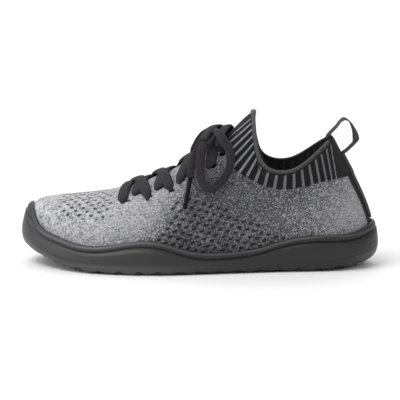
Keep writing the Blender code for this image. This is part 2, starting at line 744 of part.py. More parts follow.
def build_pull_loop(webbing):
    """One tape: up the heel, round the loop and down inside the collar."""
    seat = GAP + TAPE_THICK / 2
    rows = []
    for v in np.linspace(TAPE_LOW, TAPE_FREE, 10):
        on_cuff = min(1.0, max(0.0, (v - TAPE_STEP) / TAPE_STEP_RUN))
        middle, curl = heel_row(v, seat + on_cuff * CUFF_STEP)
        rows.append((middle[0], middle[2], curl))
    top = surface(1.0, 1.0)
    heel_curl = rows[-1][2]
    for back, height, share in LOOP:
        rows.append((top[0] + back * LOOP_LENGTH, top[2] + height * LOOP_LENGTH, share * heel_curl))
    for share in (0.3, 0.65, 1.0):
        middle, curl = heel_row(1.0 - share * TAPE_INSIDE, CUFF_STEP - UPPER_WALL - TAPE_SLACK - TAPE_THICK / 2)
        rows.append((middle[0], middle[2], curl * INSIDE_CURL))
    centres = [np.array([x, 0.0, z]) for x, z, _ in rows]
    ring = [(a, b) for b in (0.5, -0.5) for a in ((-1, -1 / 3, 1 / 3, 1) if b > 0 else (1, 1 / 3, -1 / 3, -1))]
    points = []
    for k, centre in enumerate(centres):
        before = centres[max(0, k - 1)]
        after = centres[min(len(centres) - 1, k + 1)]
        along = (after - before) / np.linalg.norm(after - before)
        out = np.array([along[2], 0.0, -along[0]])
        curl = rows[k][2]
        points.append([
            centre + out * b * TAPE_THICK + np.array([-curl * a * a, a * TAPE_WIDTH / 2, 0.0]) for a, b in ring
        ])
    bm = welded_grid(np.array(points))
    bmesh.ops.holes_fill(bm, edges=bm.edges, sides=0)
    face_outwards(bm)
    return add_object("pull_loop", bm, webbing)


def cord(name, route, diameter, surface_material):
    """A round tube along a smooth curve through the route's points."""
    points = np.array(route)
    chord = np.concatenate([[0], np.cumsum(np.linalg.norm(np.diff(points, axis=0), axis=1))])
    curve = Smooth(chord, points)
    count = max(2, int(round(chord[-1] / (2.6 * diameter))))
    data = bpy.data.curves.new(name, "CURVE")
    data.dimensions = "3D"
    data.bevel_depth = diameter / 2
    data.bevel_resolution = 2
    data.use_fill_caps = True
    spline = data.splines.new("POLY")
    spline.points.add(count)
    for k in range(count + 1):
        x, y, z = curve(chord[-1] * k / count)[0]
        spline.points[k].co = (x, y, z, 1.0)
    data.materials.append(surface_material)
    made = bpy.data.objects.new(name, data)
    bpy.context.scene.collection.objects.link(made)
    return made


def aglet(name, route, tip, surface_material):
    """The stiff lace tip, straight on from the end of its cord."""
    end = np.array(route[-1])
    tip = np.array(tip)
    along = (tip - end) / np.linalg.norm(tip - end)
    start = end + along * 2 * GAP
    return cord(name, (start, tip), AGLET_TUBE, surface_material)


def build_bow(lace, plastic):
    cord("lace_knot", KNOT_ROUTE, LACE_TUBE * 1.1, lace)
    cord("lace_loop_near", NEAR_LOOP_ROUTE, LACE_TUBE, lace)
    cord("lace_loop_far", FAR_LOOP_ROUTE, LACE_TUBE, lace)
    cord("lace_end_near", NEAR_END_ROUTE, LACE_TUBE, lace)
    cord("lace_end_far", FAR_END_ROUTE, LACE_TUBE, lace)
    aglet("aglet_near", NEAR_END_ROUTE, NEAR_AGLET_TIP, plastic)
    aglet("aglet_far", FAR_END_ROUTE, FAR_AGLET_TIP, plastic)


def clear_scene():
    for obj in list(bpy.data.objects):
        bpy.data.objects.remove(obj)


def main():
    clear_scene()
    knit = material("knit", (0.22, 0.22, 0.23), 0.9)
    rubber = material("rubber", (0.035, 0.036, 0.038), 0.55)
    foam = material("foam", (0.03, 0.03, 0.032), 0.85)
    webbing = material("webbing", (0.03, 0.03, 0.032), 0.8)
    lace = material("lace", (0.035, 0.033, 0.038), 0.85)
    plastic = material("plastic", (0.02, 0.02, 0.022), 0.35)
    build_upper(knit)
    cut_lugs(build_outsole(rubber))
    build_insole(foam)
    build_pull_loop(webbing)
    build_lacing(lace)
    build_bow(lace, plastic)


main()
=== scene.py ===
import math

import bmesh
import bpy
import numpy as np
from bpy.props import FloatProperty, PointerProperty
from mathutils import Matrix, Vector
from mathutils.bvhtree import BVHTree


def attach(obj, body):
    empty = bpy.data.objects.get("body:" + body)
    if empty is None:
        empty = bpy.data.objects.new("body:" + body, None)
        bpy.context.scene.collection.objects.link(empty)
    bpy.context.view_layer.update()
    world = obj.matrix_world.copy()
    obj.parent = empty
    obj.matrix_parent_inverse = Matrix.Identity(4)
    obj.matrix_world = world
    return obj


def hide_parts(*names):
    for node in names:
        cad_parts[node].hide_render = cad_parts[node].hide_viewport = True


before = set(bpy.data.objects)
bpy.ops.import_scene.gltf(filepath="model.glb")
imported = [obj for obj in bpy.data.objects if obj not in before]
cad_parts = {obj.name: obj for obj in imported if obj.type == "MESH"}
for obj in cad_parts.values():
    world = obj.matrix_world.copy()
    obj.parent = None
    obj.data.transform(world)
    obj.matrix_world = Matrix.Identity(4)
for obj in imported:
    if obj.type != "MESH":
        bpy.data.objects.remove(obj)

bl_info = {
    "name": "Barefoot shoe",
    "version": (1, 0, 0),
    "blender": (4, 5, 0),
    "location": "View3D > Sidebar > Shoe",
    "description": "Dresses a packed knitted barefoot shoe with its yarns, rubber, lace and stage",
    "category": "Object",
}

# Lace holes in millimetres, from the toe up: a lower and an upper one at each knitted tunnel.
# Each row has the place of the outer hole, and then that of the inner one.
HOLES = (
    (-53.7, -18.4, 51.3, -50.5, 26.9, 49.9),
    (-45.9, -14.4, 56.1, -43.4, 22.3, 54.8),
    (-37.2, -20.4, 55.0, -34.3, 25.4, 53.0),
    (-29.2, -16.2, 60.8, -26.9, 21.0, 59.0),
    (-20.4, -21.9, 59.7, -17.8, 23.9, 57.0),
    (-13.0, -17.5, 66.7, -10.8, 19.8, 64.2),
    (1.9, -18.5, 74.0, 4.0, 18.3, 70.9),
    (10.0, -19.1, 77.8, 12.1, 17.6, 74.5),
    (18.3, -14.8, 87.2, 20.0, 14.2, 84.4),
)


class Field:
    """A socket that takes part in arithmetic, which adds Math nodes to its material."""

    def __init__(self, tree, socket):
        self.tree = tree
        self.socket = socket

    def math(self, operation, *others):
        node = self.tree.nodes.new("ShaderNodeMath")
        node.operation = operation
        for place, value in enumerate((self, *others)):
            if isinstance(value, Field):
                self.tree.links.new(value.socket, node.inputs[place])
            else:
                node.inputs[place].default_value = value
        return Field(self.tree, node.outputs[0])

    def __add__(self, other):
        return self.math("ADD", other)

    def __sub__(self, other):
        return self.math("SUBTRACT", other)

    def __mul__(self, other):
        return self.math("MULTIPLY", other)

    def __truediv__(self, other):
        return self.math("DIVIDE", other)

    def fract(self):
        return self.math("FRACT")

    def floor(self):
        return self.math("FLOOR")

    def absolute(self):
        return self.math("ABSOLUTE")

    def sine(self):
        return self.math("SINE")

    def more(self, other):
        return self.math("MAXIMUM", other)

    def above(self, other):
        return self.math("GREATER_THAN", other)

    def wave(self, pitch):
        """Rises and falls between -1 and 1, once in each pitch."""
        return (self * (math.tau / pitch)).sine()

    def upturn(self, start, run, power, height):
        """How far a line climbs beyond its start."""
        return ((self - start) / run).more(0.0).math("POWER", power) * height

    def fade(self, start, end):
        """0 at start, 1 at end, smooth between them. Start may be the larger one."""
        node = self.tree.nodes.new("ShaderNodeMapRange")
        node.interpolation_type = "SMOOTHSTEP"
        low, high = min(start, end), max(start, end)
        self.tree.links.new(self.socket, node.inputs["Value"])
        node.inputs["From Min"].default_value = low
        node.inputs["From Max"].default_value = high
        node.inputs["To Min"].default_value = float(start > end)
        node.inputs["To Max"].default_value = float(start <= end)
        return Field(self.tree, node.outputs["Result"])

    def lift(self, low, high):
        """Maps 0 to 1 onto low to high."""
        return self * (high - low) + low


class Surface:
    """One procedural material and the few nodes it is made of."""

    def __init__(self, name, roughness, specular, sheen=0.0):
        self.material = bpy.data.materials.new(name)
        self.material.use_nodes = True
        self.tree = self.material.node_tree
        self.shader = self.tree.nodes["Principled BSDF"]
        self.shader.inputs["Roughness"].default_value = roughness
        self.shader.inputs["Sheen Weight"].default_value = sheen
        self.shader.inputs["Sheen Roughness"].default_value = 0.5
        self.shader.inputs["Specular IOR Level"].default_value = specular

    def field(self, socket):
        return Field(self.tree, socket)

    def place(self):
        """Object coordinates, as three fields in metres."""
        coordinates = self.tree.nodes.new("ShaderNodeTexCoord")
        return self.split(coordinates.outputs["Object"])

    def split(self, socket):
        node = self.tree.nodes.new("ShaderNodeSeparateXYZ")
        self.tree.links.new(socket, node.inputs[0])
        return [self.field(node.outputs[k]) for k in range(3)]

    def vector(self, x, y, z=0.0):
        node = self.tree.nodes.new("ShaderNodeCombineXYZ")
        for place, value in enumerate((x, y, z)):
            if isinstance(value, Field):
                self.tree.links.new(value.socket, node.inputs[place])
            else:
                node.inputs[place].default_value = value
        return node.outputs[0]

    def attribute(self, name):
        node = self.tree.nodes.new("ShaderNodeAttribute")
        node.attribute_name = name
        return self.split(node.outputs["Vector"])

    def uv(self, name):
        node = self.tree.nodes.new("ShaderNodeUVMap")
        node.uv_map = name
        return self.split(node.outputs["UV"])

    def noise(self, vector, scale, detail=2.0, roughness=0.5):
        node = self.tree.nodes.new("ShaderNodeTexNoise")
        node.inputs["Scale"].default_value = scale
        node.inputs["Detail"].default_value = detail
        node.inputs["Roughness"].default_value = roughness
        self.tree.links.new(vector, node.inputs["Vector"])
        return self.field(node.outputs["Fac"])

    def speckle(self, vector):
        """One random number for each whole-number vector."""
        node = self.tree.nodes.new("ShaderNodeTexWhiteNoise")
        self.tree.links.new(vector, node.inputs["Vector"])
        return self.field(node.outputs["Value"])

    def curve(self, field, rows):
        """Reads a two-column table in millimetres smoothly."""
        low, high = rows[0][0], rows[-1][0]
        top = max(row[1] for row in rows)
        node = self.tree.nodes.new("ShaderNodeFloatCurve")
        points = node.mapping.curves[0].points
        for place, (x, y) in zip(points, (rows[0], rows[-1])):
            place.location = ((x - low) / (high - low), y / top)
        for x, y in rows[1:-1]:
            points.new((x - low) / (high - low), y / top)
        node.mapping.update()
        share = (field - low) / (high - low)
        self.tree.links.new(share.socket, node.inputs["Value"])
        return self.field(node.outputs["Value"]) * top

    def colour(self, red, green, blue):
        """A colour out of three fields."""
        node = self.tree.nodes.new("ShaderNodeCombineColor")
        for place, value in enumerate((red, green, blue)):
            self.tree.links.new(value.socket, node.inputs[place])
        self.tree.links.new(node.outputs[0], self.shader.inputs["Base Color"])

    def roughness(self, value):
        self.tree.links.new(value.socket, self.shader.inputs["Roughness"])

    def bump(self, height, distance, strength):
        node = self.tree.nodes.new("ShaderNodeBump")
        node.inputs["Distance"].default_value = distance
        node.inputs["Strength"].default_value = strength
        self.tree.links.new(height.socket, node.inputs["Height"])
        self.tree.links.new(node.outputs[0], self.shader.inputs["Normal"])


# Lower edge of the black cuff, and top edge of the rubber, in millimetres
CUFF_EDGE = (
    (-20.0, 130.0), (8.0, 100.0), (18.0, 87.0), (26.3, 75.5), (35.0, 71.0), (40.3, 68.0), (46.1, 65.0),
    (52.2, 63.0), (59.0, 61.8), (66.6, 61.8), (74.0, 62.9), (81.9, 64.0), (88.2, 65.8), (96.1, 66.9),
    (106.9, 68.4), (120.0, 68.4),
)
RUBBER_TOP = (
    (-136.0, 45.5), (-126.5, 32.7), (-115.6, 26.7), (-102.0, 22.8), (-92.5, 20.5), (-81.6, 20.0),
    (-70.7, 21.0), (-54.4, 24.0), (-39.4, 25.1), (-27.0, 23.6), (-13.6, 19.5), (-2.7, 16.9),
    (13.6, 15.8), (29.9, 16.6), (44.9, 18.4), (61.0, 22.8), (78.9, 26.3), (95.2, 27.6),
    (111.5, 27.3), (121.0, 28.0), (136.0, 34.5),
)
# Tone of the knit along a line that leans with the colour change: millimetres, and reflectance
TONES = (
    (-140.0, 0.47), (-110.0, 0.45), (-60.0, 0.41), (-34.0, 0.36), (-21.0, 0.23), (-8.0, 0.115),
    (5.0, 0.092), (40.0, 0.115), (70.0, 0.150), (88.0, 0.205), (104.0, 0.280), (118.0, 0.340),
    (135.0, 0.360),
)
TONE_LEAN = 0.62
TONE_LEVEL = 50.0
# Eyelets of the knit, in millimetres: both steps of their slanted lattice, an oval's radii and its tilt
SIDE_EYELETS = ((5.5, -1.5), (-3.2, -4.1), (1.9, 1.05), 0.35)
TOE_EYELETS = ((5.9, 0.9), (2.9, 4.7), (1.5, 0.9), -0.2)
# Borders of the eyelet field at the side, seen from the side: a place on each and the way across it
SIDE_FRONT = (-33.2, 26.5, 0.846, -0.534)
SIDE_TOP = (12.3, 50.9, -0.423, -0.906)
SIDE_HIGHEST = 55.0
# Round field of eyelets on the toes, seen from above: its middle, its radii and its lowest height
TOE_FIELD = (-84.0, -3.0, 21.0, 33.0)
TOE_LOWEST = 38.0
# Finer marks of the knit: metres between ladders, millimetres between diagonals, and where a seam stands
LADDER = 0.0023
DIAGONAL = 1.45
SEAM_AT = 84.0


def beyond(x, z, border):
    """1 on one side of a straight border and 0 on the other."""
    return ((x - border[0]) * border[2] + (z - border[1]) * border[3]).above(0.0)


def lattice(x, z, first, second, radii, tilt):
    """Ovals on a slanted lattice: how dark each place is, and the middle of its cell, in millimetres."""
    det = first[0] * second[1] - first[1] * second[0]
    p = (x * second[1] - z * second[0]) / det
    q = (z * first[0] - x * first[1]) / det
    dp, dq = p.fract() - 0.5, q.fract() - 0.5
    dx = dp * first[0] + dq * second[0]
    dz = dp * first[1] + dq * second[1]
    cos, sin = math.cos(tilt), math.sin(tilt)
    across = (dx * cos + dz * sin) / radii[0]
    up = (dz * cos - dx * sin) / radii[1]
    hole = (across * across + up * up).fade(1.35, 0.55)
    cp, cq = p.floor() + 0.5, q.floor() + 0.5
    return hole, cp * first[0] + cq * second[0], cp * first[1] + cq * second[1]


def knit_material(settings):
    """Melange knit with eyelet holes, and the black ribbed cuff with its lining."""
    surface = Surface("knit_yarn", roughness=0.9, sheen=0.12, specular=0.15)
    u, v, _ = surface.uv("knit")
    x, y, z = [axis * 1000.0 for axis in surface.place()]
    phase, deep, outer = surface.attribute("rim")
    tone, above, _ = surface.attribute("tone")

    # Stitches: two leaning legs in each wale
    wale = u / settings.wale
    leg = (wale * 2.0).fract()
    lean = (wale.fract() - 0.5).absolute() * 2.0
    row = v / settings.course + lean * 0.6
    loop = row.fract()
    yarn = (leg * math.pi).sine() * (loop * math.pi).sine()
    cell = surface.vector(wale.floor(), row.floor())
    speck = surface.speckle(cell)
    streak = surface.noise(surface.vector(u * 160.0, v * 620.0), 1.0, 3.0, 0.6)
    cloud = surface.noise(surface.vector(x, y, z), 0.11, 2.0, 0.5)
    dark = tone.fade(0.34, 0.16)
    other = surface.speckle(surface.vector(wale.floor() + 71.0, row.floor() + 13.0))
    light_yarn = (speck * speck * speck - 0.25) * dark.lift(0.30, 2.2) * settings.melange
    dark_yarn = (other * other * other - 0.25) * dark.lift(0.85, 0.35) * settings.melange
    grey = tone * (light_yarn - dark_yarn + 1.0)
    grey = grey * (u.wave(LADDER) * dark.lift(0.07, 0.0) + 1.0)
    diagonal = (x * 0.57 + z * 0.82).wave(DIAGONAL)
    grey = grey * (diagonal * x.fade(45.0, 75.0) * 0.16 + 1.0)
    low_seam = (x - SEAM_AT).absolute().fade(0.7, 0.2) * z.fade(46.0, 40.0)
    grey = grey * (low_seam * -0.5 + 1.0)
    grey = grey * streak.fade(0.3, 0.7).lift(0.80, 1.20) * cloud.lift(0.9, 1.1)
    grey = grey * yarn.fade(0.0, 0.55).lift(0.62, 1.08)

    # Eyelets low on both sides, and on top of the toes: holes in the knit, painted dark as painted shade
    # inside them
    side, cx, cz = lattice(x, z, *SIDE_EYELETS)
    side = side * beyond(cx, cz, SIDE_FRONT) * beyond(cx, cz, SIDE_TOP) * (cz * -1.0).above(-SIDE_HIGHEST)
    toe, tx, ty = lattice(x, y, *TOE_EYELETS)
    rx = (tx - TOE_FIELD[0]) / TOE_FIELD[2]
    ry = (ty - TOE_FIELD[1]) / TOE_FIELD[3]
    toe = toe * (rx * rx + ry * ry).math("LESS_THAN", 1.0) * z.above(TOE_LOWEST)
    holes = side.more(toe) * outer * above.fade(0.0, -2.0)
    grey = grey * holes.lift(1.0, settings.hole_tone)

    # Ribbed cuff: black bars, grey gaps, a black band, a grey piping along the rim and a plain black front
    bar = (phase.fract() - 0.5).absolute()
    front = y.absolute().fade(7.5, 5.5) * x.fade(64.0, 58.0)
    gap = bar.fade(0.32, 0.38) * deep.fade(0.0020, 0.0028) * (front * -1.0 + 1.0)
    piping = (deep - 0.0006).absolute().fade(0.0009, 0.0003)
    wobble = surface.noise(surface.vector(x, y, z), 0.9, 1.0) * 1.6
    cuff = (above + wobble - gap * 1.2).fade(0.5, 1.3)
    fine = phase.wave(1.0 / 6.0) * 0.5 + 0.5
    black = fine.lift(0.005, 0.009)
    stripe = speck.lift(0.12, 0.22) * yarn.lift(0.6, 1.0) * phase.fade(9.0, 6.0).lift(1.0, 1.6)
    ribbed = black + (stripe - black) * gap.more(piping * 0.35)
    grey = grey + (ribbed - grey) * cuff
    strip = y.absolute().fade(11.2, 9.8) * x.above(80.0)
    grey = grey + (black - grey) * strip
    lining = fine.lift(0.010, 0.017) + gap * 0.014
    grey = lining + (grey - lining) * outer
    surface.colour(grey * 0.985, grey * 0.985, grey * 1.03)
    rib_height = bar.fade(0.40, 0.30) * cuff
    height = yarn * 0.5 * cuff.lift(1.0, 0.35) - holes * 1.6 + rib_height * 1.2 + piping * cuff * 0.8
    surface.bump(height, 0.0006, settings.knit_relief)
    return surface.material


# Upturns of the parting line and of the tread at toe and heel, in millimetres: start, run, power and height
TOE_LINE = (96.0, 39.0, 1.6, 15.0)
HEEL_LINE = (100.0, 35.0, 1.5, 8.0)
TOE_TREAD = (79.0, 52.7, 1.6, 12.0)
HEEL_TREAD = (89.5, 42.0, 1.8, 4.5)
LINE_HEIGHT = 8.5
NOTCH_PITCH = 15.0


def rubber_material(settings):
    """Moulded rubber with a fine grain, a painted highlight along its bead, a parting line and notches in
    its tread, and painted light and shade.
    """
    surface = Surface("moulded_rubber", roughness=0.45, specular=0.45)
    x, y, z = [axis * 1000.0 for axis in surface.place()]
    place = surface.vector(x, y, z)
    grain = surface.noise(place, 2.2, 3.0, 0.6)
    patch = surface.noise(place, 0.06, 3.0, 0.6)
    # Lighter specks on the rubber, only near its bottom
    low_specks = surface.noise(place, 0.5, 4.0, 0.7).fade(0.55, 0.8) * z.fade(14.0, 2.0)
    to_toe = x * -1.0
    below = to_toe.upturn(*TOE_LINE) + x.upturn(*HEEL_LINE) - z + LINE_HEIGHT
    line = below.absolute().fade(0.7, 0.2) * x.absolute().fade(84.0, 100.0)
    # Painted light: below the parting line, towards the toe and the heel, the rubber is lighter, standing
    # for light from the floor
    wear_and_painted_light = below.fade(0.0, 2.5) * x.fade(30.0, -60.0).more(x.fade(105.0, 125.0))
    notch = (((x / NOTCH_PITCH + 0.5).fract() - 0.5).absolute() * NOTCH_PITCH).fade(2.3, 1.5)
    notch = notch * (z - to_toe.upturn(*TOE_TREAD) - x.upturn(*HEEL_TREAD)).fade(3.6, 2.6)
    # Painted light: the rubber is lighter towards the toe and darker towards the heel, as if lit from the
    # toe's side
    grey = patch.lift(0.014, 0.020) * x.fade(70.0, -100.0).lift(0.6, 1.5)
    grey = grey + grain.lift(-0.002, 0.002) + low_specks * 0.012 + wear_and_painted_light * 0.028 - line * 0.006
    # Painted shade: the rubber in the tread's notches is darkened to a quarter
    grey = grey * notch.lift(1.0, 0.25)
    depth = surface.curve(x, RUBBER_TOP) - z
    # Painted highlight: a thin lighter line along the top of the bead
    bead_highlight = depth.fade(-0.2, 0.4) * depth.fade(1.9, 1.1)
    # Painted shade: a darker band about 3 to 6 mm below the bead's top, where the groove under the bead
    # lies
    grey = grey + bead_highlight * 0.035 - depth.fade(3.0, 3.6) * depth.fade(6.4, 5.6) * 0.007
    surface.colour(grey, grey * 0.985, grey * 1.04)
    surface.roughness(patch.lift(0.38, 0.50) + grain.lift(-0.05, 0.05))
    surface.bump(grain * 0.35 - line * 1.6 - notch * 2.0, 0.0005, settings.grain)
    return surface.material


def lace_material(settings):
    """Braided lace: herringbone ribs across a flat band that runs along u."""
    surface = Surface("lace_braid", roughness=0.85, sheen=0.08, specular=0.2)
    u, v, _ = surface.uv("band")
    along = u / settings.braid
    across = v / settings.braid
    zig = (across * 0.5).fract() - 0.5
    twill = (along + zig.absolute() * 2.4).fract()
    rib = across.wave(1.0) * 0.5 + 0.5
    thread = (twill * math.pi).sine() * rib.lift(0.5, 1.0)
    cell = surface.vector((along + zig.absolute() * 2.4).floor(), across.floor())
    grey = surface.speckle(cell).lift(0.8, 1.2) * thread.lift(0.012, 0.034)
    surface.colour(grey * 1.02, grey * 0.93, grey * 1.16)
    surface.bump(thread, 0.00035, settings.braid_relief)
    return surface.material


# Millimetres between the cords and between the weft lines of the heel tape, and in the footbed's weave
TAPE_CORD = 1.1
TAPE_WEFT = 0.9
FOOTBED_WEAVE = 1.5


def webbing_material(settings):
    """Woven tape with cords along it and fine weft lines across it."""
    surface = Surface("loop_webbing", roughness=0.8, sheen=0.1, specular=0.2)
    x, y, z = [axis * 1000.0 for axis in surface.place()]
    cords = y.wave(TAPE_CORD) * 0.5 + 0.5
    half_step = (y / TAPE_CORD).floor() * math.pi
    weft = ((x * 0.5 - z) * (math.tau / TAPE_WEFT) + half_step).sine() * 0.5 + 0.5
    edge = y.absolute().fade(7.4, 8.0)
    thread = cords * weft.lift(0.55, 1.0)
    grey = thread.lift(0.012, 0.030) + edge * 0.006
    surface.colour(grey, grey * 0.99, grey * 1.02)
    surface.bump(thread + edge * 0.6, 0.0004, settings.weave_relief)
    return surface.material


def insole_material():
    """Dark textile on the footbed, with a fine diagonal weave."""
    surface = Surface("footbed_textile", roughness=0.9, sheen=0.2, specular=0.2)
    x, y, z = [axis * 1000.0 for axis in surface.place()]
    weave = (x + y).wave(FOOTBED_WEAVE) * (x - y).wave(FOOTBED_WEAVE) * 0.5 + 0.5
    wear_and_painted_light = surface.noise(surface.vector(x, y, z), 0.04, 3.0)
    grey = weave.lift(0.016, 0.034) * wear_and_painted_light.lift(0.8, 1.3)
    surface.colour(grey, grey, grey * 1.05)
    surface.bump(weave, 0.0004, 0.6)
    return surface.material


def aglet_material():
    """Shiny black film, slightly wrinkled."""
    surface = Surface("aglet_film", roughness=0.4, specular=0.15)
    x, y, z = [axis * 1000.0 for axis in surface.place()]
    wrinkle = surface.noise(surface.vector(x, y, z), 1.2, 2.0)
    grey = wrinkle.lift(0.002, 0.004)
    surface.colour(grey, grey, grey)
    surface.bump(wrinkle, 0.0003, 0.4)
    return surface.material


def merged(node):
    """The CAD node's mesh with its loose triangles joined back into quads."""
    bm = bmesh.new()
    bm.from_mesh(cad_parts[node].data)
    bmesh.ops.remove_doubles(bm, verts=bm.verts, dist=2e-6)
    bmesh.ops.join_triangles(bm, faces=bm.faces, angle_face_threshold=0.9, angle_shape_threshold=1.4)
    bmesh.ops.recalc_face_normals(bm, faces=bm.faces)
    return bm


def outer_faces(start, bend):
    """All faces that can be reached from one without crossing a sharp edge."""
    found = {start}
    front = [start]
    while front:
        face = front.pop()
        for edge in face.edges:
            if len(edge.link_faces) == 2 and edge.calc_face_angle() < bend:
                for other in edge.link_faces:
                    if other not in found:
                        found.add(other)
                        front.append(other)
    return found


def mesh_of(bm, name):
    """A mesh made of the bmesh, which is freed."""
    mesh = bpy.data.meshes.new(name)
    bm.to_mesh(mesh)
    bm.free()
    return mesh


def linked(name, data):
    """A new object in the scene."""
    obj = bpy.data.objects.new(name, data)
    bpy.context.scene.collection.objects.link(obj)
    return obj


def add_piece(name, mesh, material, slot, *nodes):
    """Makes a shown piece, gives it its material and lets it ride on the part."""
    mesh.materials.clear()
    mesh.materials.append(material)
    mesh.shade_smooth()
    piece = linked(name, mesh)
    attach(piece, "root")
    if nodes:
        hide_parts(*nodes)
    return piece


def refined(obj, levels):
    """A new mesh of the object with a subdivision surface applied."""
    modifier = obj.modifiers.new("refine", "SUBSURF")
    modifier.levels = levels
    modifier.render_levels = levels
    depsgraph = bpy.context.evaluated_depsgraph_get()
    mesh = bpy.data.meshes.new_from_object(
        obj.evaluated_get(depsgraph), preserve_all_data_layers=True, depsgraph=depsgraph
    )
    bpy.data.objects.remove(obj)
    return mesh


def unwrap(obj, name):
    """Unfolds the mesh along its marked seams, to true size in metres, level along the foot."""
    mesh = obj.data
    mesh.uv_layers.new(name=name)
    bpy.context.view_layer.objects.active = obj
    obj.select_set(True)
    bpy.ops.object.mode_set(mode="EDIT")
    bpy.ops.mesh.select_all(action="SELECT")
    bpy.ops.uv.unwrap(method="ANGLE_BASED", margin=0.01)
    bpy.ops.object.mode_set(mode="OBJECT")
    obj.select_set(False)
    layer = mesh.uv_layers[name].data
    uv = np.array([loop.uv for loop in layer])
    place = np.array([mesh.vertices[loop.vertex_index].co for loop in mesh.loops])
    flat = 0.0
    solid = 0.0
    picked = []
    for face in mesh.polygons:
        loops = list(face.loop_indices)
        a, b = uv[loops], np.roll(uv[loops], -1, axis=0)
        flat += abs((a[:, 0] * b[:, 1] - a[:, 1] * b[:, 0]).sum()) / 2
        solid += face.area
        if face.normal.y < -0.6 and face.center.y < -0.02:
            picked += loops
    uv *= math.sqrt(solid / flat)
    spot = place[picked][:, [0, 2]] - place[picked][:, [0, 2]].mean(0)
    turn = np.linalg.lstsq(spot, uv[picked] - uv[picked].mean(0), rcond=None)[0]
    angle = math.atan2(turn[0, 1] - turn[1, 0], turn[0, 0] + turn[1, 1])
    back = np.array([[math.cos(angle), -math.sin(angle)], [math.sin(angle), math.cos(angle)]])
    uv = uv @ back
    layer.foreach_set("uv", uv.astype(np.float32).ravel())


def points_of(mesh):
    """The places of a mesh's vertices, in metres."""
    values = np.zeros(len(mesh.vertices) * 3)
    mesh.vertices.foreach_get("co", values)
    return values.reshape(-1, 3)


def normals_of(mesh):
    """The outward directions at a mesh's vertices."""
    values = np.zeros(len(mesh.vertices) * 3)
    mesh.vertex_normals.foreach_get("vector", values)
    return values.reshape(-1, 3)


def ramp(value, start, end):
    """0 up to start, 1 from end on, straight between them."""
    return np.clip((value - start) / (end - start), 0.0, 1.0)


# The tongue lies on the toe side of this place, in metres
TONGUE_BACK = 0.060


def rim_line(mesh, marks):
    """The rim's vertices in order round the collar, as positions."""
    on_rim = {k for k, value in enumerate(marks) if value > 0.999}
    links = {k: [] for k in on_rim}
    for a, b in (tuple(edge.vertices) for edge in mesh.edges):
        if a in on_rim and b in on_rim:
            links[a].append(b)
            links[b].append(a)
    points = points_of(mesh)
    tongue = [k for k in on_rim if points[k][0] < TONGUE_BACK]
    start = max(tongue, key=lambda k: points[k][2])
    loop = [start]
    previous = None
    here = start
    while True:
        following = [k for k in links[here] if k != previous]
        if not following or following[0] == start:
            break
        previous, here = here, following[0]
        loop.append(here)
    return points[loop]


def beside_line(points, line):
    """For each point, how far off a closed line it lies."""
    best = np.full(len(points), np.inf)
    for start, end in zip(line, np.roll(line, -1, axis=0)):
        best = np.minimum(best, near_segment(points, start, end)[0])
    return best


# Ribs of the cuff: millimetres along the rim from the tongue's tip, ribs counted so far, and how far a rib
# runs towards the heel for each millimetre down, seen from the side
RIBS = (
    (0.0, -0.2, -1.15), (12.0, 2.0, -1.10), (30.0, 5.3, -0.85), (40.0, 7.1, -0.56), (48.0, 8.3, -0.30),
    (60.0, 10.1, -0.16), (74.0, 12.3, 0.04), (86.0, 14.1, 0.18), (100.0, 16.2, 0.20), (115.0, 18.4, 0.15),
)


def rib_count(mm, line):
    """For each point, in millimetres, which rib it lies on, as a running number from the tongue's tip."""
    half = line if line[1][1] < 0 else np.roll(line[::-1], 1, axis=0)
    half = half[: len(half) // 2 + 1] * 1000.0
    arc = np.concatenate([[0.0], np.cumsum(np.linalg.norm(np.diff(half, axis=0), axis=1))])
    places = np.arange(0.0, arc[-1], 1.0)
    x, z = np.interp(places, arc, half[:, 0]), np.interp(places, arc, half[:, 2])
    lean = np.interp(places, [row[0] for row in RIBS], [row[2] for row in RIBS])
    count = np.zeros(len(mm))
    near = np.nonzero((mm[:, 0] > 0.0) & (mm[:, 2] > 50.0))[0]
    side = (x - mm[near, 0:1]) - lean * (mm[near, 2:3] - z)
    after = np.clip((side < 0).sum(axis=1), 1, len(places) - 1)
    rows = np.arange(len(near))
    low, high = side[rows, after - 1], side[rows, after]
    place = places[after - 1] + np.clip(-low / np.maximum(high - low, 1e-6), 0.0, 1.0)
    count[near] = table_at(RIBS, place)
    return count


def table_at(rows, values):
    """Straight-line reading of a two-column table."""
    return np.interp(values, [row[0] for row in rows], [row[1] for row in rows])


def near_segment(points, start, end):
    """Distance of each point from a segment, and its share of the way along."""
    along = end - start
    share = np.clip((points - start) @ along / (along @ along), 0.0, 1.0)
    return np.linalg.norm(points - start - share[:, None] * along, axis=1), share


def set_vectors(mesh, name, *columns):
    """Three columns of numbers as a vector attribute of the vertices."""
    attribute = mesh.attributes.new(name, "FLOAT_VECTOR", "POINT")
    attribute.data.foreach_set("vector", np.stack(columns, axis=1).astype(np.float32).ravel())


# Soft creases of the knit, in millimetres seen from the side: x and z of both ends, half width and depth
CREASES = (
    (58.0, 54.0, 84.0, 42.0, 4.0, 0.45),
    (66.0, 58.0, 104.0, 50.0, 4.5, 0.40),
    (74.0, 36.0, 108.0, 30.0, 5.0, 0.40),
    (36.0, 46.0, 20.0, 30.0, 5.0, 0.35),
    (-44.0, 28.0, -30.0, 46.0, 5.0, 0.30),
    (-58.0, 26.0, -46.0, 42.0, 5.0, 0.25),
)
# Knitted tunnels over the lace: height and half width, in millimetres
TUNNEL_HEIGHT = 1.3
TUNNEL_HALF = 3.6


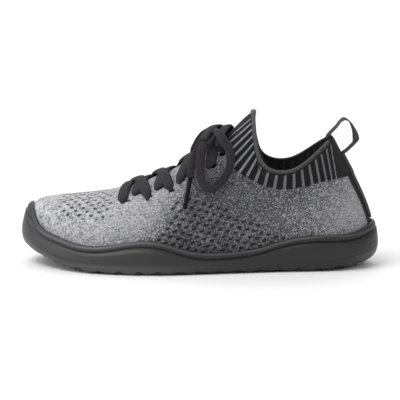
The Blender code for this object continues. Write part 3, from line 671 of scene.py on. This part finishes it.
def build_upper(settings):
    """The knitted upper with true-size stitches, tunnels for the lace and soft creases."""
    bm = merged("upper")
    sharp = math.radians(50)
    toe_faces = [face for face in bm.faces if face.calc_center_median().x < -0.06]
    start = max(toe_faces, key=lambda face: face.calc_center_median().z)
    outer = outer_faces(start, sharp)
    side_of = bm.verts.layers.float.new("outer")
    mark_of = bm.verts.layers.float.new("mark")
    for face in outer:
        for vert in face.verts:
            vert[side_of] = 1.0
    for edge in bm.edges:
        pair = edge.link_faces
        border = len(pair) == 2 and (pair[0] in outer) != (pair[1] in outer)
        heel = all(vert.co.x > 0.08 and abs(vert.co.y) < 0.0015 for vert in edge.verts)
        edge.seam = heel or (len(pair) == 2 and edge.calc_face_angle() > sharp)
        if border and all(vert.co.x > 0.030 and vert.co.z > 0.070 for vert in edge.verts):
            for vert in edge.verts:
                vert[mark_of] = 1.0
    obj = linked("shoe_upper_base", mesh_of(bm, "shoe_upper_base"))
    unwrap(obj, "knit")
    mesh = refined(obj, 2)
    points = points_of(mesh)
    marks = np.zeros(len(points))
    mesh.attributes["mark"].data.foreach_get("value", marks)
    sides = np.zeros(len(points))
    mesh.attributes["outer"].data.foreach_get("value", sides)
    line = rim_line(mesh, marks)
    deep = beside_line(points, line)
    mm = points * 1000.0
    above = mm[:, 2] - table_at(CUFF_EDGE, mm[:, 0])
    tone = table_at(TONES, mm[:, 0] - TONE_LEAN * (mm[:, 2] - TONE_LEVEL))
    # Painted shade: the knit's tone is darkened just above the rubber, the more the nearer it lies
    over_rubber = mm[:, 2] - table_at(RUBBER_TOP, mm[:, 0])
    close = ramp(over_rubber, 0.0, settings.shade_height * 1000.0)
    tone *= 1.0 - settings.shade * (1.0 - close) ** 1.5
    # The material reads rib number, depth below the rim and outer side, then tone and height over the edge
    set_vectors(mesh, "rim", rib_count(mm, line), deep, sides)
    set_vectors(mesh, "tone", tone, above, sides)
    normals = normals_of(mesh)
    lift = np.zeros(len(points))
    for low, high in zip(HOLES[0:8:2], HOLES[1:8:2]):
        for k in (0, 3):
            off, share = near_segment(mm, np.array(low[k:k + 3]), np.array(high[k:k + 3]))
            arch = np.sin(math.pi * np.clip(share, 0.15, 0.85)) ** 0.5
            lift += TUNNEL_HEIGHT * np.exp(-((off / TUNNEL_HALF) ** 2)) * arch
    flat = mm[:, [0, 2]]
    for x_from, z_from, x_to, z_to, half_width, depth in CREASES:
        off, share = near_segment(flat, np.array((x_from, z_from)), np.array((x_to, z_to)))
        taper = np.sin(math.pi * share) ** 0.6
        lift -= depth * np.exp(-((off / half_width) ** 2)) * taper * (above < 0)
    moved = points + normals * (lift * sides / 1000.0)[:, None]
    mesh.vertices.foreach_set("co", moved.astype(np.float32).ravel())
    mesh.update()
    material = knit_material(settings)
    build_cuff_roll(line, material, settings)
    return add_piece("knit_upper", mesh, material, "knit", "upper")


def build_cuff_roll(line, material, settings):
    """The rolled knit edge round the collar, which also rounds the tongue's tip."""
    for _ in range(3):
        line = (np.roll(line, 1, axis=0) + 2 * line + np.roll(line, -1, axis=0)) / 4
    middle = line.mean(axis=0)
    outs = []
    centres = []
    for point in line:
        away = (point - middle) * [1.0, 1.0, 0.0]
        away /= np.linalg.norm(away)
        tip = np.exp(-np.linalg.norm(point - line[0]) / 0.006)
        centres.append(point - away * 0.0008 + np.array([0.0, 0.0, 0.0003 + 0.0012 * tip]))
        outs.append(np.array([0.0, 0.0, 1.0]) + away * 0.2)
    centres, outs = np.array(centres + centres[:1]), np.array(outs + outs[:1])
    swell = 1.0 + 1.1 * np.exp(-((np.linalg.norm(centres - centres[0], axis=1) / 0.006) ** 2))
    thick = settings.roll * swell
    roll = band_mesh("cuff_roll", centres, outs, thick, thick * 0.8, sides=10)
    # The roll is read as a place on a bar, on the piping line and above the cuff's edge
    even = np.ones(len(roll.vertices))
    set_vectors(roll, "rim", even * 0.5, even * 0.0006, even)
    set_vectors(roll, "tone", even * 0.1, even * 9.0, even)
    add_piece("cuff_roll", roll, material, "knit")


# Routes of the bow, in millimetres, within about 4 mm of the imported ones, and extra turns for the knot
KNOT = (
    (15.8, -17.2, 92.6), (15.6, -12.5, 96.8), (15.2, -6.2, 100.2), (15.0, 1.5, 101.8), (15.3, 9.0, 100.2),
    (15.8, 13.5, 96.5), (16.6, 17.2, 92.0),
)
NEAR_LOOP = (
    (9.4, -4.4, 99.8), (5.2, -10.2, 96.2), (1.6, -17.2, 88.4), (0.5, -23.6, 78.8), (1.3, -29.0, 69.8),
    (5.1, -33.0, 64.4), (10.7, -34.0, 63.8), (16.3, -32.5, 68.2), (21.2, -30.0, 74.6), (23.4, -27.2, 82.4),
    (22.5, -23.0, 91.0), (18.5, -20.0, 97.0), (14.5, -14.5, 101.5), (11.5, -6.0, 103.5),
)
FAR_LOOP = (
    (6.4, 7.6, 99.8), (1.6, 14.6, 93.2), (1.6, 20.6, 83.8), (3.6, 22.9, 74.5), (7.2, 25.6, 69.0),
    (12.6, 26.8, 66.0), (18.2, 26.5, 67.7), (22.2, 25.2, 72.9), (23.8, 24.2, 79.8), (23.5, 23.2, 87.0),
    (21.8, 23.0, 95.0), (17.8, 18.0, 100.5), (12.5, 9.5, 103.4),
)
NEAR_END = (
    (11.6, 0.4, 102.8), (7.2, -0.2, 101.4), (2.8, -3.0, 96.8), (-0.2, -8.0, 90.8), (-3.6, -13.5, 84.8),
    (-5.8, -20.0, 78.3), (-6.7, -26.0, 70.2),
)
FAR_END = (
    (12.7, 6.0, 102.8), (8.0, 6.3, 102.2), (4.2, 6.3, 100.0), (0.4, 8.2, 94.6), (-2.2, 11.8, 89.0),
    (-3.8, 15.4, 84.9), (-4.4, 20.0, 78.8), (-4.6, 24.0, 72.0),
)
KNOT_TURNS = (
    ((6.0, -14.0, 94.0), (9.5, -10.0, 98.4), (13.0, -4.0, 101.4), (17.0, 4.0, 102.0), (20.0, 10.0, 99.0)),
    ((3.5, -13.0, 96.5), (5.5, -9.5, 100.5), (9.5, -3.0, 104.3), (13.5, 4.0, 104.7), (16.0, 11.0, 101.0),
     (16.5, 15.0, 96.0)),
    ((15.0, -13.0, 98.5), (18.0, -7.0, 102.4), (20.0, 0.0, 105.0), (22.0, 6.0, 103.5), (24.0, 10.0, 99.0)),
)
NEAR_TIP = (-10.7, -37.0, 48.4)
FAR_TIP = (-4.8, 34.5, 50.0)


def smooth_route(points, count):
    """Evenly spaced points on a Catmull-Rom curve through the given ones."""
    p = np.array(points, float)
    p = np.vstack([2 * p[0] - p[1], p, 2 * p[-1] - p[-2]])
    fine = []
    for k in range(1, len(p) - 2):
        a, b, c, d = p[k - 1:k + 3]
        for s in np.linspace(0, 1, 12, endpoint=False):
            bend = (2 * a - 5 * b + 4 * c - d) * s**2
            turn = (3 * (b - c) + d - a) * s**3
            fine.append(0.5 * (2 * b + (c - a) * s + bend + turn))
    fine.append(p[-2])
    fine = np.array(fine)
    run = np.concatenate([[0.0], np.cumsum(np.linalg.norm(np.diff(fine, axis=0), axis=1))])
    even = np.linspace(0.0, run[-1], count)
    return np.stack([np.interp(even, run, fine[:, k]) for k in range(3)], axis=1), run[-1]


def band_mesh(name, centres, outwards, width, thick, sides=12):
    """A flat oval band swept along centres in metres. Width and thickness may change along it."""
    count = len(centres)
    width = np.broadcast_to(width, count)
    thick = np.broadcast_to(thick, count)
    bm = bmesh.new()
    layer = bm.loops.layers.uv.new("band")
    bmesh.ops.create_grid(bm, x_segments=sides, y_segments=count - 1, size=1)
    run = np.concatenate([[0.0], np.cumsum(np.linalg.norm(np.diff(centres, axis=0), axis=1))])
    frames = []
    for k in range(count):
        along = centres[min(count - 1, k + 1)] - centres[max(0, k - 1)]
        along /= np.linalg.norm(along)
        out = outwards[k] - along * np.dot(outwards[k], along)
        out /= np.linalg.norm(out)
        frames.append((np.cross(out, along), out))
    girth = 2.2 * float(width.mean())
    for vert in bm.verts:
        i = round((vert.co.x + 1) / 2 * sides)
        j = round((vert.co.y + 1) / 2 * (count - 1))
        for loop in vert.link_loops:
            loop[layer].uv = (run[j], i / sides * girth)
        turn = 2 * math.pi * i / sides
        cos, sin = math.cos(turn), math.sin(turn)
        aside, out = frames[j]
        flat = math.copysign(abs(cos) ** 0.8, cos) * width[j] / 2
        high = math.copysign(abs(sin) ** 0.8, sin) * thick[j] / 2
        vert.co = Vector(centres[j] + aside * flat + out * high)
    bmesh.ops.remove_doubles(bm, verts=bm.verts, dist=1e-6)
    bmesh.ops.holes_fill(bm, edges=bm.edges, sides=0)
    bmesh.ops.recalc_face_normals(bm, faces=bm.faces)
    return mesh_of(bm, name)


# How the strands lie, in metres: the line they turn round lies below their holes, the nearest knit is
# looked for from above, and their ends lie close and then dip into the eyelets
CORE_BELOW = 0.022
LOOK_ABOVE = 0.006
END_CLOSE = 0.0016
EYELET_DIP = 0.0045
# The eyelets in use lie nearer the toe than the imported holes, and one strand of each pair crosses above
AHEAD = 0.0032
LOW_RISE = 0.0004
HIGH_RISE = 0.0021


def relaxed(points):
    """Inner points drawn towards their neighbours, with both ends kept."""
    inner = [(a + 2 * b + c) / 4 for a, b, c in zip(points, points[1:], points[2:])]
    return [points[0], *inner, points[-1]]


def strand_path(skin, start, end, rise, count, settings):
    """A lace from hole to hole over the instep, with both ends down in their holes."""
    core = np.array([0.0, 0.0, (start[2] + end[2]) / 2 - CORE_BELOW])
    first = start * [0, 1, 1] - core
    last = end * [0, 1, 1] - core
    turns = math.atan2(first[1], first[2]), math.atan2(last[1], last[2])
    reach = np.linalg.norm(first), np.linalg.norm(last)
    centres, outs = [], []
    for k in range(count):
        s = k / (count - 1)
        slant = s ** (2.0 if end[0] > start[0] else 1.0)
        turn = turns[0] + (turns[1] - turns[0]) * s
        way = Vector((0.0, math.sin(turn), math.cos(turn)))
        origin = Vector(core + [start[0] + (end[0] - start[0]) * slant, 0, 0])
        far = reach[0] + (reach[1] - reach[0]) * s + LOOK_ABOVE
        spot, normal, _, _ = skin.find_nearest(origin + way * far)
        arch = math.sin(math.pi * s)
        lift = settings.thick * 0.5 + rise * arch**2 - END_CLOSE * (1 - arch) ** 6
        centres.append(np.array(spot + normal * lift))
        outs.append(np.array(normal))
    for _ in range(3):
        centres = relaxed(centres)
        outs = [out / np.linalg.norm(out) for out in relaxed(outs)]
    inward = centres[0] - outs[0] * EYELET_DIP - (centres[1] - centres[0]) * 0.3
    outward = centres[-1] - outs[-1] * EYELET_DIP - (centres[-2] - centres[-1]) * 0.3
    return np.array([inward, *centres, outward]), np.array([outs[0], *outs, outs[-1]])


def skin_of(piece):
    """A piece's surface, to be searched for its nearest places."""
    return BVHTree.FromObject(piece, bpy.context.evaluated_depsgraph_get())


def build_lacing(settings):
    """The bar and the crossings, each strand dipping into its eyelets."""
    skin = skin_of(bpy.data.objects["knit_upper"])
    material = lace_material(settings)
    ahead = np.array([AHEAD, 0.0, 0.0])
    out = [np.array(row[0:3]) / 1000.0 - ahead for row in HOLES]
    inner = [np.array(row[3:6]) / 1000.0 - ahead for row in HOLES]
    strands = [("lace_bar", out[0] - ahead * 0.8, inner[1], LOW_RISE)]
    for k, (low, high) in enumerate(((1, 3), (3, 5), (5, 7), (7, 8)), 1):
        strands.append((f"lace_forward_{k}", out[low], inner[high], LOW_RISE))
    for k, (low, high) in enumerate(((0, 2), (2, 4), (4, 6), (6, 8)), 1):
        strands.append((f"lace_backward_{k}", out[high], inner[low], HIGH_RISE))
    for name, start, end, rise in strands:
        centres, outs = strand_path(skin, start, end, rise, 26, settings)
        share = np.linspace(0, 1, len(centres))
        edge = ramp(np.minimum(share, 1 - share), 0.03, 0.17)
        width = settings.width * (0.22 + 0.78 * np.sqrt(1.0 - (1.0 - edge) ** 2))
        thick = settings.thick * (1.3 - 0.3 * edge)
        add_piece(name, band_mesh(name, centres, outs, width, thick), material, "lace", "lacing")


def bow_band(name, route, facing, width, node, settings, blunt=False):
    """One cord of the bow as a soft flat lace, with its flat side turned at a few given places."""
    count = max(24, len(route) * 4)
    centres, length = smooth_route(np.array(route) / 1000.0, count)
    share = np.linspace(0.0, 1.0, count)
    stops = np.linspace(0.0, 1.0, len(facing))
    outs = np.stack([np.interp(share, stops, [f[k] for f in facing]) for k in range(3)], axis=1)
    edge = ramp(share, 0.0, 0.12)
    if not blunt:
        edge = np.minimum(edge, ramp(1 - share, 0.0, 0.12))
    mesh = band_mesh(name, centres, outs, width * (0.72 + 0.28 * edge), settings.thick * 0.85)
    piece = add_piece(name, mesh, bpy.data.materials["lace_braid"], "lace", node)
    return piece, centres, length


def build_aglet(name, end, tip, material, node):
    """A rolled film sleeve on the end of the lace, slimmer towards its tip."""
    end = np.array(end) / 1000.0
    tip = np.array(tip) / 1000.0
    share = np.array([0.0, 0.03, 0.06, 0.5, 0.9, 0.97, 1.0])
    centres = end + (tip - end) * share[:, None]
    widths = np.array([0.0028, 0.0034, 0.0035, 0.0034, 0.0033, 0.0030, 0.0016])
    side = np.array([0.2, -1.0, 0.3])
    mesh = band_mesh(name, centres, [side] * len(share), widths, widths * 0.85)
    return add_piece(name, mesh, material, "aglet_plastic", node)


def build_bow(settings):
    """Knot, two loops and two ends with aglets."""
    film = aglet_material()
    width = settings.width * 0.8
    slim = width * 0.85
    up = (-0.4, 0.0, 1.0)
    out, out_turned = (0.1, -1.0, 0.35), (0.6, -0.8, 0.2)
    back, back_turned = (0.1, 1.0, 0.35), (0.6, 0.8, 0.2)
    over = ((-0.6, -0.6, 0.5), (-0.3, -0.2, 1.0), (0.0, 0.6, 0.6))
    near_facing = (up, out, out, out_turned, out, up)
    far_facing = (up, back, back, back_turned, back, up)
    knot, _, _ = bow_band("bow_knot", KNOT, (out, up, up, back), width * 1.25, "lace_knot", settings)
    for k, route in enumerate(KNOT_TURNS, 1):
        turn, _, _ = bow_band(f"bow_knot_turn_{k}", route, over, width * 1.15, "lace_knot", settings)
    near_loop = bow_band("bow_loop_near", NEAR_LOOP, near_facing, width, "lace_loop_near", settings)
    far_loop = bow_band("bow_loop_far", FAR_LOOP, far_facing, width, "lace_loop_far", settings)
    near_end = bow_band("bow_end_near", NEAR_END, (up, out, out), slim, "lace_end_near", settings, True)
    far_end = bow_band("bow_end_far", FAR_END, (up, back, back), slim, "lace_end_far", settings, True)
    near_aglet = build_aglet("aglet_sleeve_near", NEAR_END[-1], NEAR_TIP, film, "aglet_near")
    far_aglet = build_aglet("aglet_sleeve_far", FAR_END[-1], FAR_TIP, film, "aglet_far")


# Heel tape, in metres: how thick it is, how far off the knit it lies, the height where it starts to leave
# the heel and the one where it is free, the middle of the loop and the place behind which it hugs the heel
TAPE_THICK = 0.0013
TAPE_GAP = 0.0003
TAPE_LEAVES = 0.084
TAPE_FREE = 0.092
LOOP_MIDDLE = 0.1103
HEEL_BACK = 0.108


def build_pull_loop(settings):
    """The heel tape, hugging the heel below, and slimmer and a little turned in its loop."""
    bm = merged("pull_loop")
    mesh = refined(linked("heel_tape_base", mesh_of(bm, "heel_tape_base")), 2)
    skin = skin_of(bpy.data.objects["knit_upper"])
    points, normals = points_of(mesh), normals_of(mesh)
    for point, normal in zip(points, normals):
        spot, _, _, off = skin.find_nearest(Vector(point))
        away = (point - np.array(spot)) / off
        seat = TAPE_GAP + TAPE_THICK * (0.5 + 0.5 * away @ normal)
        free = ramp(point[2], TAPE_LEAVES, TAPE_FREE)
        twist = 0.28 * ramp(point[0], 0.105, 0.120) * ramp(point[2], TAPE_FREE, 0.096)
        point[0] -= twist * point[1]
        point[0] += 0.3 * (LOOP_MIDDLE - point[0]) * ramp(point[2], 0.096, 0.105)
        if point[0] > HEEL_BACK:
            point -= away * (off - seat) * (1.0 - free)
    mesh.vertices.foreach_set("co", points.astype(np.float32).ravel())
    mesh.update()
    add_piece("heel_tape", mesh, webbing_material(settings), "webbing", "pull_loop")


def build_sole(settings):
    """The rubber cup with rounder curves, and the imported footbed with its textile."""
    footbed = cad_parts["insole"].data
    footbed.materials.clear()
    footbed.materials.append(insole_material())
    bm = merged("outsole")
    crease = bm.edges.layers.float.new("crease_edge")
    for edge in bm.edges:
        if len(edge.link_faces) == 2 and edge.calc_face_angle() > math.radians(55):
            edge[crease] = 1.0
    mesh = refined(linked("moulded_cup_base", mesh_of(bm, "moulded_cup_base")), 1)
    cup = add_piece("moulded_cup", mesh, rubber_material(settings), "sole_rubber", "outsole")
    cup.data.set_sharp_from_angle(angle=math.radians(50))


def add_light(name, place, target, size, power):
    """A soft rectangular lamp that points at a place."""
    data = bpy.data.lights.new(name, "AREA")
    data.shape = "RECTANGLE"
    data.size, data.size_y = size
    data.energy = power
    light = linked(name, data)
    light.location = place
    light.rotation_euler = (target - Vector(place)).to_track_quat("-Z", "Y").to_euler()


def build_stage(settings):
    """Pale floor, soft studio light and the camera."""
    bm = bmesh.new()
    bmesh.ops.create_grid(bm, x_segments=1, y_segments=1, size=8.0)
    floor = linked("studio_floor", mesh_of(bm, "studio_floor"))
    pale = Surface("pale_floor", roughness=0.6, specular=0.3)
    pale.shader.inputs["Base Color"].default_value = (0.93, 0.93, 0.93, 1.0)
    floor.data.materials.append(pale.material)
    target = Vector((0.0006, -0.020, 0.0522))
    add_light("key", (-0.8, -0.5, 1.5), target, (1.4, 1.0), settings.key_power)
    add_light("fill", (0.9, -1.2, 0.7), target, (1.0, 0.8), settings.fill_power)
    add_light("side", (-1.8, -0.5, 0.45), target, (0.9, 0.7), settings.side_power)
    add_light("back", (0.0, 2.4, 2.2), target, (3.0, 2.0), settings.back_power)
    world = bpy.data.worlds.new("studio")
    world.use_nodes = True
    background = world.node_tree.nodes["Background"]
    background.inputs["Color"].default_value = (1.0, 1.0, 1.0, 1.0)
    background.inputs["Strength"].default_value = settings.sky
    scene = bpy.context.scene
    scene.world = world
    scene.view_settings.view_transform = "Standard"
    camera_data = bpy.data.cameras.new("camera")
    camera_data.lens = settings.lens
    camera_data.clip_end = 100.0
    camera = linked("camera", camera_data)
    distance = settings.view_width * settings.lens / camera_data.sensor_width
    tilt = settings.elevation
    camera.location = target + Vector((0.0, -math.cos(tilt), math.sin(tilt))) * distance
    camera.rotation_euler = (math.pi / 2 - tilt, 0.0, 0.0)
    scene.camera = camera


class ShoeSettings(bpy.types.PropertyGroup):
    """Sizes and looks that the builders read."""

    wale: FloatProperty(name="Wale", description="Width of one stitch", default=0.00105, unit="LENGTH")
    course: FloatProperty(name="Course", description="Height of one stitch", default=0.00095, unit="LENGTH")
    melange: FloatProperty(
        name="Melange", description="Contrast between yarns", default=0.95, subtype="FACTOR"
    )
    hole_tone: FloatProperty(
        name="Eyelet tone", description="Brightness left in an eyelet", default=0.18, subtype="FACTOR"
    )
    roll: FloatProperty(
        name="Rolled edge", description="Thickness of the collar's edge", default=0.0021, unit="LENGTH"
    )
    shade: FloatProperty(
        name="Edge shade", description="Darkening just above the rubber", default=0.3, subtype="FACTOR"
    )
    shade_height: FloatProperty(
        name="Shade height", description="Height of that darkening", default=0.016, unit="LENGTH"
    )
    knit_relief: FloatProperty(
        name="Knit relief", description="Strength of the stitches' bump", default=0.6
    )
    grain: FloatProperty(name="Grain", description="Strength of the rubber's grain", default=0.35)
    width: FloatProperty(
        name="Lace width", description="Width of the flat lace", default=0.0085, unit="LENGTH"
    )
    thick: FloatProperty(
        name="Lace thickness", description="Thickness of the lace", default=0.0028, unit="LENGTH"
    )
    braid: FloatProperty(name="Braid", description="Size of one braid cell", default=0.0010, unit="LENGTH")
    braid_relief: FloatProperty(
        name="Braid relief", description="Strength of the braid's bump", default=1.0
    )
    weave_relief: FloatProperty(name="Weave relief", description="Strength of the tape's bump", default=0.6)
    key_power: FloatProperty(
        name="Key light", description="Power of the light above", default=18.0, unit="POWER"
    )
    fill_power: FloatProperty(
        name="Fill light", description="Power of the light in front", default=0.8, unit="POWER"
    )
    side_power: FloatProperty(
        name="Side light", description="Power of the light beyond the toe", default=7.0, unit="POWER"
    )
    back_power: FloatProperty(
        name="Back light", description="Power of the light behind", default=30.0, unit="POWER"
    )
    sky: FloatProperty(name="Sky", description="Strength of the even light", default=0.66)
    lens: FloatProperty(name="Lens", description="Focal length in millimetres", default=300.0)
    view_width: FloatProperty(
        name="View width", description="Width of the view at the shoe", default=0.3, unit="LENGTH"
    )
    elevation: FloatProperty(
        name="Elevation", description="Camera above the horizon", default=math.radians(10), subtype="ANGLE"
    )


class ShoeOperator(bpy.types.Operator):
    """Shared start of the shoe's builders"""

    bl_options = {"REGISTER", "UNDO"}


class SHOE_OT_upper(ShoeOperator):
    """Build the knitted upper"""

    bl_idname = "shoe.upper"
    bl_label = "Knitted upper"

    def execute(self, context):
        build_upper(context.scene.shoe)
        return {"FINISHED"}


class SHOE_OT_sole(ShoeOperator):
    """Finish the rubber cup and the footbed"""

    bl_idname = "shoe.sole"
    bl_label = "Sole"

    def execute(self, context):
        build_sole(context.scene.shoe)
        return {"FINISHED"}


class SHOE_OT_lacing(ShoeOperator):
    """Lace the shoe through its eyelets"""

    bl_idname = "shoe.lacing"
    bl_label = "Lacing"

    def execute(self, context):
        build_lacing(context.scene.shoe)
        return {"FINISHED"}


class SHOE_OT_bow(ShoeOperator):
    """Tie the bow"""

    bl_idname = "shoe.bow"
    bl_label = "Bow"

    def execute(self, context):
        build_bow(context.scene.shoe)
        return {"FINISHED"}


class SHOE_OT_pull_loop(ShoeOperator):
    """Weave the heel tape and its loop"""

    bl_idname = "shoe.pull_loop"
    bl_label = "Pull loop"

    def execute(self, context):
        build_pull_loop(context.scene.shoe)
        return {"FINISHED"}


class SHOE_OT_stage(ShoeOperator):
    """Set up the floor, the lights and the camera"""

    bl_idname = "shoe.stage"
    bl_label = "Stage"

    def execute(self, context):
        build_stage(context.scene.shoe)
        return {"FINISHED"}


STEPS = (SHOE_OT_stage, SHOE_OT_upper, SHOE_OT_sole, SHOE_OT_lacing, SHOE_OT_bow, SHOE_OT_pull_loop)


class SHOE_PT_panel(bpy.types.Panel):
    """Builders of the shoe, in the order they run"""

    bl_label = "Barefoot shoe"
    bl_idname = "SHOE_PT_panel"
    bl_space_type = "VIEW_3D"
    bl_region_type = "UI"
    bl_category = "Shoe"

    def draw(self, context):
        for step in STEPS:
            self.layout.operator(step.bl_idname)


CLASSES = (ShoeSettings, *STEPS, SHOE_PT_panel)


def register():
    for cls in CLASSES:
        bpy.utils.register_class(cls)
    bpy.types.Scene.shoe = PointerProperty(type=ShoeSettings)


def unregister():
    del bpy.types.Scene.shoe
    for cls in reversed(CLASSES):
        bpy.utils.unregister_class(cls)


def main():
    """Builds the shoe and its stage."""
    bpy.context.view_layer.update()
    register()
    bpy.ops.shoe.stage()
    bpy.ops.shoe.upper()
    bpy.ops.shoe.sole()
    bpy.ops.shoe.lacing()
    bpy.ops.shoe.bow()
    bpy.ops.shoe.pull_loop()


if __name__ == "__main__":
    main()
